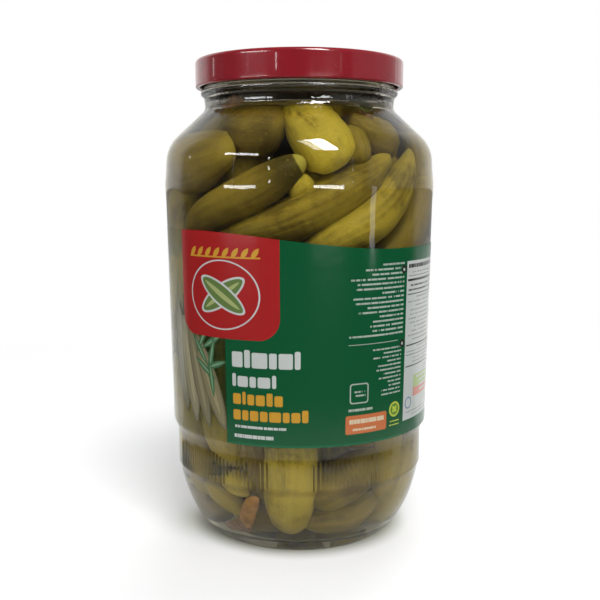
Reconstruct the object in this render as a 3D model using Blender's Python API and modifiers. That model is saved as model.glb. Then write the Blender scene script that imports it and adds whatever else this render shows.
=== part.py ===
"""A large glass jar of pickled cucumbers with a red twist-off lid and a printed film label.

Metres, +Z up. The jar stands on z = 0 with its axis on Z, and its front faces -Y.
An angle on the wall is counted from the front, positive to the right.
"""
import math
import random

import bmesh
import bpy
import numpy as np

# Driving dimensions of the jar
TOTAL_HEIGHT = 0.1978
SEGMENTS = 48
GAP = 0.0003

# Lid: an 82 mm twist-off cap, 86 mm across its skirt
LID_RADIUS = 0.0430
LID_HEIGHT = 0.0111
LID_THICKNESS = 0.0008
LID_CORNER = 0.0015
LID_CURL = 0.0020
LID_RECESS_RADIUS = 0.0365
LID_RECESS_DEPTH = 0.0009

# Glass
WALL = 0.0027
MOUTH_RADIUS = 0.0363
FINISH_RADIUS = 0.0402
COLLAR_RADIUS = 0.0410
COLLAR_Z = 0.1846
NECK_RADIUS = 0.0392
NECK_Z = 0.1796
SHOULDER_RADIUS = 0.0560
SHOULDER_ARC = 0.0145
SHOULDER_Z = 0.1565
BEAD_RADIUS = 0.0573
BEAD_Z = 0.1470
PANEL_TOP = (0.0560, 0.1380)
PANEL_BOTTOM = (0.0549, 0.0500)
RIDGE = (0.0537, 0.0410)
RIB_BAND_RADIUS = 0.0532
HEEL_Z = 0.0340
HEEL_TURN_RADIUS = 0.0380
HEEL_POWER = 1.25
BASE_RADIUS = 0.0390
BASE_RING_WIDTH = 0.0030
PUSH_UP = 0.0032
FLOOR_Z = 0.0068

# Label: a sleeve of film round the straight panel
LABEL_THICKNESS = 0.0004
LABEL_BOTTOM = 0.0484
LABEL_TOP = 0.1238
LABEL_RISE = 0.0068

# Pickles
CORE_RADIUS = 0.0345
CORE_BOTTOM = 0.0100
CORE_TOP = 0.1640
PICKLE_SIDES = 7
PICKLE_STATIONS = 5
WALL_CLEARANCE = 0.0005


def arc(centre_r, centre_z, radius, start, end, steps):
    """Points on a circular arc in the (r, z) plane, angles in degrees."""
    angles = np.radians(np.linspace(start, end, steps))
    return [(centre_r + radius * math.cos(a), centre_z + radius * math.sin(a)) for a in angles]


def heel(wall, floor, turn, angles):
    """Points on the rounded heel between a wall and a floor: a quarter of a fuller ellipse."""
    points = []
    for angle in np.radians(angles):
        r = turn + (wall - turn) * math.cos(angle) ** HEEL_POWER
        z = HEEL_Z - (HEEL_Z - floor) * math.sin(angle) ** HEEL_POWER
        points.append((r, z))
    return points


def outer_profile():
    """The outside of the glass, from the rim down to the middle of the base."""
    rim_z = TOTAL_HEIGHT - LID_THICKNESS - GAP - LID_RECESS_DEPTH
    points = [(MOUTH_RADIUS, rim_z - 0.0012), (MOUTH_RADIUS + 0.0010, rim_z)]
    points += [(FINISH_RADIUS - 0.0010, rim_z), (FINISH_RADIUS, rim_z - 0.0010)]
    points += [(FINISH_RADIUS, COLLAR_Z + 0.0032), (NECK_RADIUS, COLLAR_Z + 0.0022)]
    points += arc(COLLAR_RADIUS - 0.0015, COLLAR_Z, 0.0015, 60, -60, 3)
    points += arc(NECK_RADIUS + 0.0040, NECK_Z, 0.0040, 180, 232, 3)
    points += arc(SHOULDER_RADIUS - SHOULDER_ARC, SHOULDER_Z, SHOULDER_ARC, 62, 4, 6)
    points += arc(BEAD_RADIUS - 0.0027, BEAD_Z, 0.0027, 55, -55, 4)
    points += [PANEL_TOP, PANEL_BOTTOM]
    points += [(RIB_BAND_RADIUS, RIDGE[1] + 0.0045), RIDGE, (RIB_BAND_RADIUS, RIDGE[1] - 0.0030)]
    points += heel(RIB_BAND_RADIUS, 0.0, HEEL_TURN_RADIUS, [0, 16, 30, 44, 58, 70, 79])
    points += [(BASE_RADIUS, 0.0)]
    points += [(BASE_RADIUS - BASE_RING_WIDTH, 0.0), (BASE_RADIUS - BASE_RING_WIDTH - 0.0020, 0.0010)]
    points += [(0.0, PUSH_UP)]
    return points


def inner_profile():
    """The inside of the glass, from the middle of its floor up to the mouth."""
    inner_arc = SHOULDER_ARC - WALL
    points = [(0.0, FLOOR_Z + 0.0020), (HEEL_TURN_RADIUS - 0.0060, FLOOR_Z)]
    points += heel(RIB_BAND_RADIUS - WALL, FLOOR_Z, HEEL_TURN_RADIUS - 0.0020, [76, 58, 40, 20, 0])
    points += [(PANEL_BOTTOM[0] - WALL, PANEL_BOTTOM[1]), (PANEL_TOP[0] - WALL, PANEL_TOP[1])]
    points += arc(SHOULDER_RADIUS - SHOULDER_ARC, SHOULDER_Z, inner_arc, 4, 62, 5)
    points += arc(NECK_RADIUS + 0.0040, NECK_Z, 0.0040 + WALL, 228, 184, 3)
    return points


def lid_profile():
    """The pressed lid, from the middle of its top, out, down the skirt, round the curl, back inside."""
    top = TOTAL_HEIGHT
    bottom = top - LID_HEIGHT
    inside = LID_RADIUS - LID_THICKNESS
    points = [(0.0, top - LID_RECESS_DEPTH), (LID_RECESS_RADIUS, top - LID_RECESS_DEPTH)]
    points += [(LID_RECESS_RADIUS + 0.0010, top)]
    points += arc(LID_RADIUS - LID_CORNER, top - LID_CORNER, LID_CORNER, 90, 0, 4)
    points += [(LID_RADIUS, bottom + 0.0012), (LID_RADIUS - 0.0006, bottom)]
    points += [(LID_RADIUS - LID_CURL + 0.0002, bottom), (LID_RADIUS - LID_CURL, bottom + 0.0010)]
    points += [(inside, bottom + 0.0020), (inside, top - LID_CORNER - 0.0004)]
    points += [(inside - 0.0008, top - LID_THICKNESS)]
    points += [(LID_RECESS_RADIUS + 0.0006, top - LID_THICKNESS)]
    points += [(LID_RECESS_RADIUS - 0.0008, top - LID_THICKNESS - LID_RECESS_DEPTH)]
    points += [(0.0, top - LID_THICKNESS - LID_RECESS_DEPTH)]
    return points


def clear_scene():
    """Remove what the scene holds."""
    for item in list(bpy.data.objects):
        bpy.data.objects.remove(item, do_unlink=True)


def material(name, colour, roughness, metallic=0.0, transmission=0.0, ior=1.45):
    """A plain Principled material."""
    made = bpy.data.materials.new(name)
    made.use_nodes = True
    shader = made.node_tree.nodes["Principled BSDF"]
    shader.inputs["Base Color"].default_value = (*colour, 1.0)
    shader.inputs["Roughness"].default_value = roughness
    shader.inputs["Metallic"].default_value = metallic
    shader.inputs["Transmission Weight"].default_value = transmission
    shader.inputs["IOR"].default_value = ior
    made.diffuse_color = (*colour, 1.0)
    return made


def add_object(name, mesh, collection, finish):
    """Put a mesh in the collection as a smooth shaded object."""
    item = bpy.data.objects.new(name, mesh)
    collection.objects.link(item)
    mesh.materials.append(finish)
    mesh.shade_smooth()
    mesh.set_sharp_from_angle(angle=math.radians(35))
    return item


def turned(name, profile, collection, finish):
    """Turn an (r, z) profile round Z with a Screw modifier."""
    mesh = bpy.data.meshes.new(name)
    vertices = [(r, 0.0, z) for r, z in profile]
    edges = [(i, i + 1) for i in range(len(profile) - 1)]
    mesh.from_pydata(vertices, edges, [])
    item = add_object(name, mesh, collection, finish)
    screw = item.modifiers.new("Turn", "SCREW")
    screw.steps = SEGMENTS
    screw.render_steps = SEGMENTS
    screw.use_merge_vertices = True
    screw.merge_threshold = 0.00001
    screw.use_smooth_shade = True
    return item


def wall_point(phi, radius, z):
    """A point at an angle from the front, in degrees, and a distance from the axis."""
    angle = np.radians(phi)
    return np.stack([radius * np.sin(angle), -radius * np.cos(angle), z], axis=-1)


def panel_radius(z):
    """The outside of the straight panel at a height."""
    return np.interp(z, [PANEL_BOTTOM[1], PANEL_TOP[1]], [PANEL_BOTTOM[0], PANEL_TOP[0]])


def smooth_step(value, low, high):
    """0 below low, 1 above high, with a smooth S between."""
    t = np.clip((value - low) / (high - low), 0.0, 1.0)
    return t * t * (3.0 - 2.0 * t)


def label_top(phi):
    """The label's upper edge: level on the right, with a wave up to the left."""
    rise = smooth_step(phi, -140.0, -75.0) * (1.0 - smooth_step(phi, -45.0, 42.0))
    return LABEL_TOP + LABEL_RISE * rise


def label(collection, finish):
    """The film sleeve: one closed band, its two faces a thickness apart."""
    phi = np.arange(SEGMENTS) * 360.0 / SEGMENTS - 180.0
    top = label_top(phi)
    bottom = np.full(SEGMENTS, LABEL_BOTTOM)
    lower = PANEL_BOTTOM[0] - (PANEL_BOTTOM[1] - LABEL_BOTTOM) * 0.0125 + GAP
    rings = [
        wall_point(phi, panel_radius(top) + GAP + LABEL_THICKNESS, top),
        wall_point(phi, np.full(SEGMENTS, lower + LABEL_THICKNESS), bottom),
        wall_point(phi, np.full(SEGMENTS, lower), bottom),
        wall_point(phi, panel_radius(top) + GAP, top),
    ]
    vertices = np.concatenate(rings)
    faces = []
    for ring in range(4):
        here = ring * SEGMENTS
        there = ((ring + 1) % 4) * SEGMENTS
        for i in range(SEGMENTS):
            j = (i + 1) % SEGMENTS
            faces.append((here + i, there + i, there + j))
            faces.append((here + i, there + j, here + j))
    mesh = bpy.data.meshes.new("label")
    mesh.from_pydata(vertices.tolist(), [], faces)
    return add_object("label", mesh, collection, finish)


def reach(z, ball):
    """How far from the axis a ball may sit at a height and stay clear of the inside of the glass."""
    profile = np.array(inner_profile())[2:]
    heights = z + ball * np.linspace(-0.98, 0.98, 25)
    wall = np.interp(heights, profile[:, 1], profile[:, 0])
    half_width = np.sqrt(np.maximum(ball ** 2 - (heights - z) ** 2, 0.0))
    return float(np.min(wall - half_width)) - WALL_CLEARANCE


def girth(u):
    """The swell of a pickle along its length, u from -1 to 1: full in the middle, blunt at the ends."""
    return (1.0 - np.abs(u) ** 3.0) ** 0.45


def pickle_mesh(start, end, diameter, bow=0.0, depth=0.0, sides=PICKLE_SIDES, stations=PICKLE_STATIONS):
    """A closed pickle that lies along the wall from one end to the other.

    start and end are (angle, height) on the wall. bow lifts the middle across the pickle's length,
    and depth moves it away from the wall.
    """
    u = np.sin(np.radians(np.linspace(-90.0, 90.0, stations + 2)))
    t = (u + 1.0) / 2.0
    phi = start[0] + (end[0] - start[0]) * t
    z = start[1] + (end[1] - start[1]) * t
    mean_radius = 0.045
    along = np.array([math.radians(end[0] - start[0]) * mean_radius, end[1] - start[1]])
    along /= np.linalg.norm(along)
    lift = bow * (1.0 - u ** 2)
    phi = phi - np.degrees(lift * along[1] / mean_radius)
    z = z + lift * along[0]
    radius = np.array([reach(height, diameter / 2.0) for height in z]) - depth
    centre = wall_point(phi, radius, z)
    tangent = np.gradient(centre, t, axis=0)
    tangent /= np.linalg.norm(tangent, axis=1)[:, None]
    outward = wall_point(phi, np.ones_like(z), np.zeros_like(z))
    across = np.cross(tangent, outward)
    across /= np.linalg.norm(across, axis=1)[:, None]
    outward = np.cross(across, tangent)
    angle = np.arange(sides) * 2.0 * math.pi / sides
    swell = (girth(u) * diameter / 2.0)[1:-1]
    ring = across[1:-1, None, :] * np.cos(angle)[None, :, None]
    ring = ring + outward[1:-1, None, :] * np.sin(angle)[None, :, None]
    body = centre[1:-1, None, :] + ring * swell[:, None, None]
    vertices = np.concatenate([body.reshape(-1, 3), centre[:1], centre[-1:]])
    first = stations * sides
    faces = []
    for i in range(sides):
        j = (i + 1) % sides
        faces.append((first, j, i))
        faces.append((first + 1, (stations - 1) * sides + i, (stations - 1) * sides + j))
        for k in range(stations - 1):
            a = k * sides
            b = a + sides
            faces.append((a + i, a + j, b + j, b + i))
    mesh = bpy.data.meshes.new("pickle")
    mesh.from_pydata(vertices.tolist(), [], faces)
    outward_faces(mesh)
    return mesh


def outward_faces(mesh):
    """Turn the faces of a closed mesh outwards."""
    work = bmesh.new()
    work.from_mesh(mesh)
    bmesh.ops.triangulate(work, faces=work.faces)
    bmesh.ops.recalc_face_normals(work, faces=work.faces)
    work.to_mesh(mesh)
    work.free()


# Each pickle that shows at the front: start (angle, height), end (angle, height), diameter, bow, depth
FRONT_PICKLES = [
    ((-84.0, 0.1530), (-34.0, 0.1590), 0.0195, -0.0010, 0.0000),
    ((-50.0, 0.1680), (-8.0, 0.1655), 0.0195, 0.0000, 0.0010),
    ((0.0, 0.1760), (19.5, 0.1535), 0.0205, 0.0000, 0.0000),
    ((30.5, 0.1690), (33.0, 0.1545), 0.0110, 0.0000, 0.0050),
    ((30.0, 0.1680), (62.0, 0.1605), 0.0155, 0.0000, 0.0030),
    ((-62.0, 0.1290), (3.0, 0.1565), 0.0160, 0.0000, 0.0000),
    ((-44.0, 0.1255), (50.0, 0.1580), 0.0185, -0.0040, 0.0020),
    ((0.0, 0.1200), (66.0, 0.1590), 0.0175, -0.0050, 0.0010),
    ((34.0, 0.1120), (80.0, 0.1440), 0.0170, -0.0020, 0.0050),
    ((56.0, 0.1150), (90.0, 0.1500), 0.0180, 0.0000, 0.0020),
    ((10.0, 0.1740), (37.0, 0.1725), 0.0140, 0.0000, 0.0050),
    ((-3.0, 0.1490), (6.0, 0.1545), 0.0100, 0.0000, 0.0065),
    ((-84.0, 0.1180), (-69.0, 0.1480), 0.0200, 0.0000, 0.0015),
    ((-5.5, 0.0900), (-5.5, 0.0120), 0.0190, 0.0000, 0.0000),
    ((6.0, 0.0225), (42.0, 0.0440), 0.0190, -0.0025, 0.0015),
    ((0.0, 0.0162), (56.0, 0.0220), 0.0165, -0.0010, 0.0040),
    ((48.0, 0.0700), (52.0, 0.0200), 0.0160, 0.0000, 0.0000),
    ((-55.0, 0.0270), (-31.5, 0.0165), 0.0100, 0.0010, 0.0005),
    ((-39.0, 0.0330), (-26.5, 0.0245), 0.0088, 0.0000, 0.0010),
    ((-48.0, 0.0930), (-40.0, 0.0340), 0.0220, 0.0000, 0.0010),
    ((-70.0, 0.0820), (-64.0, 0.0200), 0.0180, 0.0000, 0.0000),
    ((12.0, 0.0600), (48.0, 0.0500), 0.0170, 0.0000, 0.0050),
    ((-52.0, 0.0165), (-2.0, 0.0155), 0.0150, 0.0000, 0.0085),
]

# Rings of pickles where the front ones leave room: first angle, last angle, count, middle height,
# length, and the least and most that an end leans round the wall
PICKLE_RINGS = [
    (78.0, 272.0, 9, 0.0480, 0.0620, -9.0, 9.0),
    (-84.0, 252.0, 14, 0.1010, 0.0660, -9.0, 9.0),
    (98.0, 262.0, 8, 0.1440, 0.0460, 6.0, 22.0),
]
RING_SEED = 11


def ring_pickles():
    """The pickles that stand round the wall in rings, leaning a little, each its own size."""
    draw = random.Random(RING_SEED)
    found = []
    for first, last, count, middle, length, least, most in PICKLE_RINGS:
        for i in range(count):
            phi = first + (last - first) * i / (count - 1) + draw.uniform(-3.0, 3.0)
            lean = draw.uniform(least, most)
            half = length / 2.0 * draw.uniform(0.88, 1.05)
            height = middle + draw.uniform(-0.0030, 0.0030)
            diameter = draw.uniform(0.0175, 0.0215)
            bow = draw.uniform(-0.0025, 0.0025)
            depth = draw.uniform(0.0, 0.0015)
            found.append(((phi - lean, height - half), (phi + lean, height + half), diameter, bow, depth))
    return found


def core_profile():
    """The middle of the heap, from its top down to its bottom."""
    return [
        (0.0, CORE_TOP),
        (CORE_RADIUS - 0.0090, CORE_TOP - 0.0020),
        (CORE_RADIUS, CORE_TOP - 0.0180),
        (CORE_RADIUS + 0.0040, CORE_TOP - 0.0350),
        (CORE_RADIUS + 0.0040, CORE_BOTTOM + 0.0130),
        (CORE_RADIUS - 0.0015, CORE_BOTTOM),
        (0.0, CORE_BOTTOM),
    ]


def keep_largest(mesh):
    """Drop loose scraps and sealed hollows: only the piece with the largest extent stays."""
    work = bmesh.new()
    work.from_mesh(mesh)
    bmesh.ops.remove_doubles(work, verts=work.verts, dist=0.000005)
    left = set(work.verts)
    groups = []
    while left:
        stack = [left.pop()]
        group = list(stack)
        while stack:
            for edge in stack.pop().link_edges:
                for vertex in edge.verts:
                    if vertex in left:
                        left.remove(vertex)
                        stack.append(vertex)
                        group.append(vertex)
        groups.append(group)
    groups.sort(key=len, reverse=True)
    for group in groups[1:]:
        bmesh.ops.delete(work, geom=group, context="VERTS")
    bmesh.ops.triangulate(work, faces=work.faces)
    work.to_mesh(mesh)
    work.free()


def pickles(collection, finish):
    """The heap: a smaller core with the pickles along the wall fused on."""
    core = turned("pickles", core_profile(), collection, finish)
    core.modifiers["Turn"].steps = 24
    core.modifiers["Turn"].render_steps = 24
    additions = bpy.data.collections.new("pickle additions")
    bpy.context.scene.collection.children.link(additions)
    for row in FRONT_PICKLES + ring_pickles():
        mesh = pickle_mesh(*row)
        item = bpy.data.objects.new("addition", mesh)
        item.hide_render = True
        item.display_type = "WIRE"
        additions.objects.link(item)
    union = core.modifiers.new("Union", "BOOLEAN")
    union.operation = "UNION"
    union.operand_type = "COLLECTION"
    union.collection = additions
    union.solver = "EXACT"
    graph = bpy.context.evaluated_depsgraph_get()
    mesh = bpy.data.meshes.new_from_object(core.evaluated_get(graph))
    core.modifiers.clear()
    core.data = mesh
    mesh.name = "pickles"
    for item in list(additions.objects):
        bpy.data.objects.remove(item, do_unlink=True)
    bpy.data.collections.remove(additions)
    keep_largest(mesh)
    mesh.materials.clear()
    mesh.materials.append(finish)
    return core


def pepper_piece(collection, finish):
    """A small curved piece of pepper at the bottom left."""
    mesh = pickle_mesh((-22.0, 0.0235), (-27.0, 0.0115), 0.0062, bow=-0.0012, sides=8, stations=6)
    return add_object("pepper_piece", mesh, collection, finish)


def herb_leaf(collection, finish):
    """A small wavy herb leaf under the neck: both faces split alike, a thickness apart."""
    length = 0.0085
    width = 0.0050
    thickness = 0.0008
    columns = 9
    u = np.linspace(-1.0, 1.0, columns)
    half_width = width / 2.0 * (1.0 - u ** 2) ** 0.5 * (1.0 + 0.25 * np.cos(9.0 * u))
    half_width = np.maximum(half_width, width * 0.06)
    phi = 60.0 + np.degrees(u * length / 2.0 / 0.040)
    wave = 0.0005 * np.sin(3.0 * u)
    rows = []
    for side in (-1.0, 1.0):
        for face in (0.0, thickness):
            height = 0.1742 - 0.0012 * u + side * half_width
            rows.append(wall_point(phi, 0.0366 - face + wave, height))
    outline = [rows[0], rows[2], rows[3], rows[1]]
    vertices = np.concatenate(outline)
    faces = []
    for ring in range(4):
        here = ring * columns
        there = ((ring + 1) % 4) * columns
        for i in range(columns - 1):
            faces.append((here + i, there + i, there + i + 1, here + i + 1))
    for i in (0, columns - 1):
        faces.append(tuple(ring * columns + i for ring in range(4)))
    mesh = bpy.data.meshes.new("herb_leaf")
    mesh.from_pydata(vertices.tolist(), [], faces)
    outward_faces(mesh)
    return add_object("herb_leaf", mesh, collection, finish)


def main():
    """Model the jar."""
    clear_scene()
    jar = bpy.data.collections.new("pickle jar")
    bpy.context.scene.collection.children.link(jar)
    glass = material("clear glass", (0.93, 0.96, 0.94), 0.04, transmission=1.0, ior=1.50)
    lacquer = material("red lacquered tin", (0.33, 0.012, 0.022), 0.32, metallic=0.25)
    film = material("printed film", (0.010, 0.105, 0.045), 0.30)
    skin = material("pickle skin", (0.20, 0.16, 0.035), 0.40)
    pepper = material("orange pepper", (0.38, 0.16, 0.035), 0.45)
    herb = material("brown herb", (0.07, 0.05, 0.02), 0.60)
    turned("glass_jar", inner_profile() + outer_profile(), jar, glass)
    turned("lid", lid_profile(), jar, lacquer)
    label(jar, film)
    pickles(jar, skin)
    pepper_piece(jar, pepper)
    herb_leaf(jar, herb)


main()
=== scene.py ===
import math

import bmesh
import bpy
import mathutils
import numpy as np
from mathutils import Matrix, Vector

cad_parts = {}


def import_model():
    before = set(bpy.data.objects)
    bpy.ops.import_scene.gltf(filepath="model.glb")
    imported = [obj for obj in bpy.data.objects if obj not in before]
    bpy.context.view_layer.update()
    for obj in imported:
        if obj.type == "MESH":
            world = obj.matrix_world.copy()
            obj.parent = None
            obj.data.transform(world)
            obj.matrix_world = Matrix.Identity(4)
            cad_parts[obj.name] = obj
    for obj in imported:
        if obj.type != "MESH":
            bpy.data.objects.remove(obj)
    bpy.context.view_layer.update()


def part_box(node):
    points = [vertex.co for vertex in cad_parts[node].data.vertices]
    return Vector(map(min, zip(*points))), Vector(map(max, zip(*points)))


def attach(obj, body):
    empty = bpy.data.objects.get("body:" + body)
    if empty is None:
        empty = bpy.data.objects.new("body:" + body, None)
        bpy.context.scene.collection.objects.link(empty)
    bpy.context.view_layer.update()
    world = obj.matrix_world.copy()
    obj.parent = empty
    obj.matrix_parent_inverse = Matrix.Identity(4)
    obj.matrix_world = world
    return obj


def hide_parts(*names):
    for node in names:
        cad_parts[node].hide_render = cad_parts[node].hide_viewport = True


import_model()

# A jar of pickled cucumbers: clear glass, brine, whole pickles, a red twist-off lid and a printed film.
# Metres, +Z up, the axis on Z, the front towards -Y. An angle on the wall is counted from the front,
# positive to the right.

# Sizes. The solids have the same ones but for the raised ring, the shoulder and the floor inside.
TOP = float(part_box("lid")[1][2])
LID_RADIUS = float(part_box("lid")[1][0])
LID_HEIGHT = TOP - float(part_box("lid")[0][2])
WALL = 0.0027
MOUTH_RADIUS = 0.0363
FINISH_RADIUS = 0.0402
COLLAR = (0.041, 0.1846)
NECK = (0.0392, 0.1796)
SHOULDER = (0.0556, 0.1565)
SHOULDER_ARC = 0.0145
BEAD_Z = 0.147
BEAD_HEIGHT = 0.0004
BEAD_SPREAD = 0.005
BEAD_LEAN = 0.044
PANEL_TOP = (0.056, 0.138)
PANEL_BOTTOM = (0.0549, 0.05)
RIB_BAND_RADIUS = 0.0532
HEEL_Z = 0.034
HEEL_TURN_RADIUS = 0.038
HEEL_POWER = 1.25
BASE_RADIUS = 0.039
BASE_RING_WIDTH = 0.003
PUSH_UP = 0.0032
FLOOR_Z = 0.0052
LIQUID_Z = 0.1782

# How finely the round pieces are turned, and how much finer the rib band is
COLUMNS = 288
RIB_SPLIT = 6

# The ribs: half waves in two stretches round the jar
RIB_PITCH = 1.875
RIB_HEIGHT = 0.0004
RIB_TOP = 0.043
RIB_BOTTOM = 0.0297
RIB_MIDDLES = (-12.0, 168.0)
RIB_HALF_WIDTH = 57.0


# Shapes

def arc(centre_r, centre_z, radius, start, end, steps):
    """Points on a circle in the (r, z) plane: centre plus radius times cosine and sine of the angle."""
    angle = np.radians(np.linspace(start, end, steps))
    return np.stack([centre_r + radius * np.cos(angle), centre_z + radius * np.sin(angle)], axis=1)


def rounded(points, rounds):
    """Corner cutting: each edge gives two points, at a quarter and three quarters of its length."""
    points = np.asarray(points, dtype=float)
    for _ in range(rounds):
        first = points[:-1] * 0.75 + points[1:] * 0.25
        second = points[:-1] * 0.25 + points[1:] * 0.75
        inner = np.stack([first, second], axis=1).reshape(-1, 2)
        points = np.concatenate([points[:1], inner[1:-1], points[-1:]])
    return points


def wall_point(phi, radius, z):
    """A point at an angle from the front and a distance from the axis: r sin, minus r cos, z."""
    angle = np.radians(phi)
    return np.stack(np.broadcast_arrays(radius * np.sin(angle), -radius * np.cos(angle), z), axis=-1)


def smooth_step(value, low, high):
    """0 below low, 1 above high, three t squared minus two t cubed between."""
    t = np.clip((value - low) / (high - low), 0.0, 1.0)
    return t * t * (3.0 - 2.0 * t)


def grid_faces(rows, columns, start=0):
    """Four-sided faces of a grid whose columns close on themselves."""
    first = start + np.arange(rows - 1)[:, None] * columns
    here = first + np.arange(columns)[None, :]
    there = first + (np.arange(columns) + 1)[None, :] % columns
    return np.stack([here, here + columns, there + columns, there], axis=-1).reshape(-1, 4).tolist()


def fan_faces(pole, ring, columns, upper):
    """Three-sided faces from a pole to the ring that starts at a vertex number."""
    here = ring + np.arange(columns)
    there = ring + (np.arange(columns) + 1) % columns
    tip = np.full(columns, pole)
    order = [tip, here, there] if upper else [tip, there, here]
    return np.stack(order, axis=-1).tolist()


def tube_faces(rows, columns, start=0):
    """Faces of a closed tube: its grid, and a fan to each of the two poles that follow it."""
    pole = start + rows * columns
    return (grid_faces(rows, columns, start) + fan_faces(pole, start, columns, True)
            + fan_faces(pole + 1, pole - columns, columns, False))


def full_turn(count):
    """Equal steps round a circle, in degrees."""
    return np.arange(count) * 360.0 / count


def new_object(name, data):
    """An object in the scene."""
    item = bpy.data.objects.new(name, data)
    bpy.context.scene.collection.objects.link(item)
    return item


def new_piece(name, points, faces, materials, uv=None, face_material=None, sharp=None):
    """A mesh object from arrays, its faces turned outwards by the sign of its volume."""
    mesh = bpy.data.meshes.new(name)
    mesh.from_pydata(points.reshape(-1, 3).tolist(), [], faces)
    for made in materials:
        mesh.materials.append(made)
    if face_material is not None:
        mesh.polygons.foreach_set("material_index", np.asarray(face_material, dtype=np.int32))
    work = bmesh.new()
    work.from_mesh(mesh)
    inside_out = work.calc_volume(signed=True) < 0.0
    work.free()
    if inside_out:
        mesh.flip_normals()
    if uv is not None:
        write_uv(mesh, *uv)
    mesh.shade_smooth()
    if sharp is not None:
        mesh.set_sharp_from_angle(angle=math.radians(sharp))
    return new_object(name, mesh)


def read(items, name, kind, width=1):
    """A property of all of a mesh's items as one array."""
    values = np.zeros(len(items) * width, dtype=kind)
    items.foreach_get(name, values)
    return values if width == 1 else values.reshape(-1, width)


def write_uv(mesh, u, v):
    """One UV layer from a value pair per vertex; a face across the seam gets u past 1 instead of 0."""
    loops = read(mesh.loops, "vertex_index", np.int32)
    starts = read(mesh.polygons, "loop_start", np.int32)
    totals = read(mesh.polygons, "loop_total", np.int32)
    corner_u = u[loops]
    highest = np.repeat(np.maximum.reduceat(corner_u, starts), totals)
    corner_u = np.where(highest - corner_u > 0.5, corner_u + 1.0, corner_u)
    layer = mesh.uv_layers.new(name="UVMap")
    layer.data.foreach_set("uv", np.stack([corner_u, v[loops]], axis=1).astype(np.float32).ravel())


def turned(name, profile, materials, columns=COLUMNS, sharp=None):
    """A profile from axis to axis carried round Z: r sin, minus r cos, z for each angle."""
    rings = wall_point(full_turn(columns)[None, :], profile[1:-1, :1], profile[1:-1, 1:])
    poles = wall_point(np.zeros(2), profile[[0, -1], 0], profile[[0, -1], 1])
    points = np.concatenate([rings.reshape(-1, 3), poles])
    return new_piece(name, points, tube_faces(len(profile) - 2, columns), materials, sharp=sharp)


# The jar's sections

def heel(wall, floor, turn, angles):
    """The rounded heel: a quarter of an ellipse with cosine and sine raised to a power."""
    angle = np.radians(angles)
    r = turn + (wall - turn) * np.cos(angle) ** HEEL_POWER
    z = HEEL_Z - (HEEL_Z - floor) * np.sin(angle) ** HEEL_POWER
    return np.stack([r, z], axis=1)


def bead(offset, direction):
    """The raised ring under the shoulder: a low bell curve, and a slight lean inwards above it."""
    step = np.linspace(-0.0085, 0.009, 25)[::direction]
    swell = BEAD_HEIGHT * np.exp(-(step / BEAD_SPREAD) ** 2) - BEAD_LEAN * np.maximum(step - 0.001, 0.0)
    return np.stack([PANEL_TOP[0] + offset + swell, BEAD_Z + step], axis=1)


def inner_section():
    """Inside of the glass, from the middle of the floor up to the mouth."""
    shoulder_r = SHOULDER[0] - SHOULDER_ARC
    parts = [
        [(0.0, FLOOR_Z + 0.002), (0.012, FLOOR_Z + 0.0017), (HEEL_TURN_RADIUS - 0.006, FLOOR_Z)],
        heel(RIB_BAND_RADIUS - WALL, FLOOR_Z, HEEL_TURN_RADIUS - 0.002, np.linspace(76.0, 0.0, 12)),
        [(PANEL_BOTTOM[0] - WALL, PANEL_BOTTOM[1]), (PANEL_TOP[0] - WALL, PANEL_TOP[1])],
        bead(-WALL, 1),
        arc(shoulder_r, SHOULDER[1], SHOULDER_ARC - WALL, 4, 49, 10),
        arc(NECK[0] + 0.004, NECK[1], 0.004 + WALL, 228, 184, 6),
        [(MOUTH_RADIUS, NECK[1] + 0.006), (MOUTH_RADIUS, TOP - 0.0032)],
    ]
    return rounded(np.concatenate(parts), 1)


def outer_upper_section():
    """Outside of the glass from the rim down to the ridge over the rib band."""
    rim = TOP - 0.002
    shoulder_r = SHOULDER[0] - SHOULDER_ARC
    parts = [
        [(MOUTH_RADIUS + 0.001, rim), (FINISH_RADIUS - 0.001, rim), (FINISH_RADIUS, rim - 0.001)],
        [(FINISH_RADIUS, COLLAR[1] + 0.004), (NECK[0] + 0.0004, COLLAR[1] + 0.0024)],
        arc(COLLAR[0] - 0.0015, COLLAR[1], 0.0015, 70, -70, 6),
        [(NECK[0] + 0.0003, COLLAR[1] - 0.0024)],
        arc(NECK[0] + 0.004, NECK[1], 0.004, 184, 232, 6),
        arc(shoulder_r, SHOULDER[1], SHOULDER_ARC, 49, 4, 14),
        bead(0.0, -1),
        [PANEL_TOP, PANEL_BOTTOM, (PANEL_BOTTOM[0] - 0.0003, PANEL_BOTTOM[1] - 0.002)],
        [(RIB_BAND_RADIUS + 0.0004, RIB_TOP + 0.0028), (RIB_BAND_RADIUS + 0.0001, RIB_TOP + 0.001)],
        [(RIB_BAND_RADIUS, RIB_TOP)],
    ]
    return rounded(np.concatenate(parts), 1)


def outer_lower_section():
    """Outside of the glass from under the rib band, round the heel, to the middle of the push-up."""
    parts = [
        [(RIB_BAND_RADIUS - 0.0001, RIB_BOTTOM - 0.0002), (RIB_BAND_RADIUS - 0.0006, RIB_BOTTOM - 0.001)],
        heel(RIB_BAND_RADIUS, 0.0, HEEL_TURN_RADIUS, np.linspace(18.0, 80.0, 18)),
        [(BASE_RADIUS, 0.0), (BASE_RADIUS - BASE_RING_WIDTH, 0.0)],
        [(BASE_RADIUS - BASE_RING_WIDTH - 0.002, 0.001), (0.012, PUSH_UP - 0.0003), (0.0, PUSH_UP)],
    ]
    return np.concatenate(parts)


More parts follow.
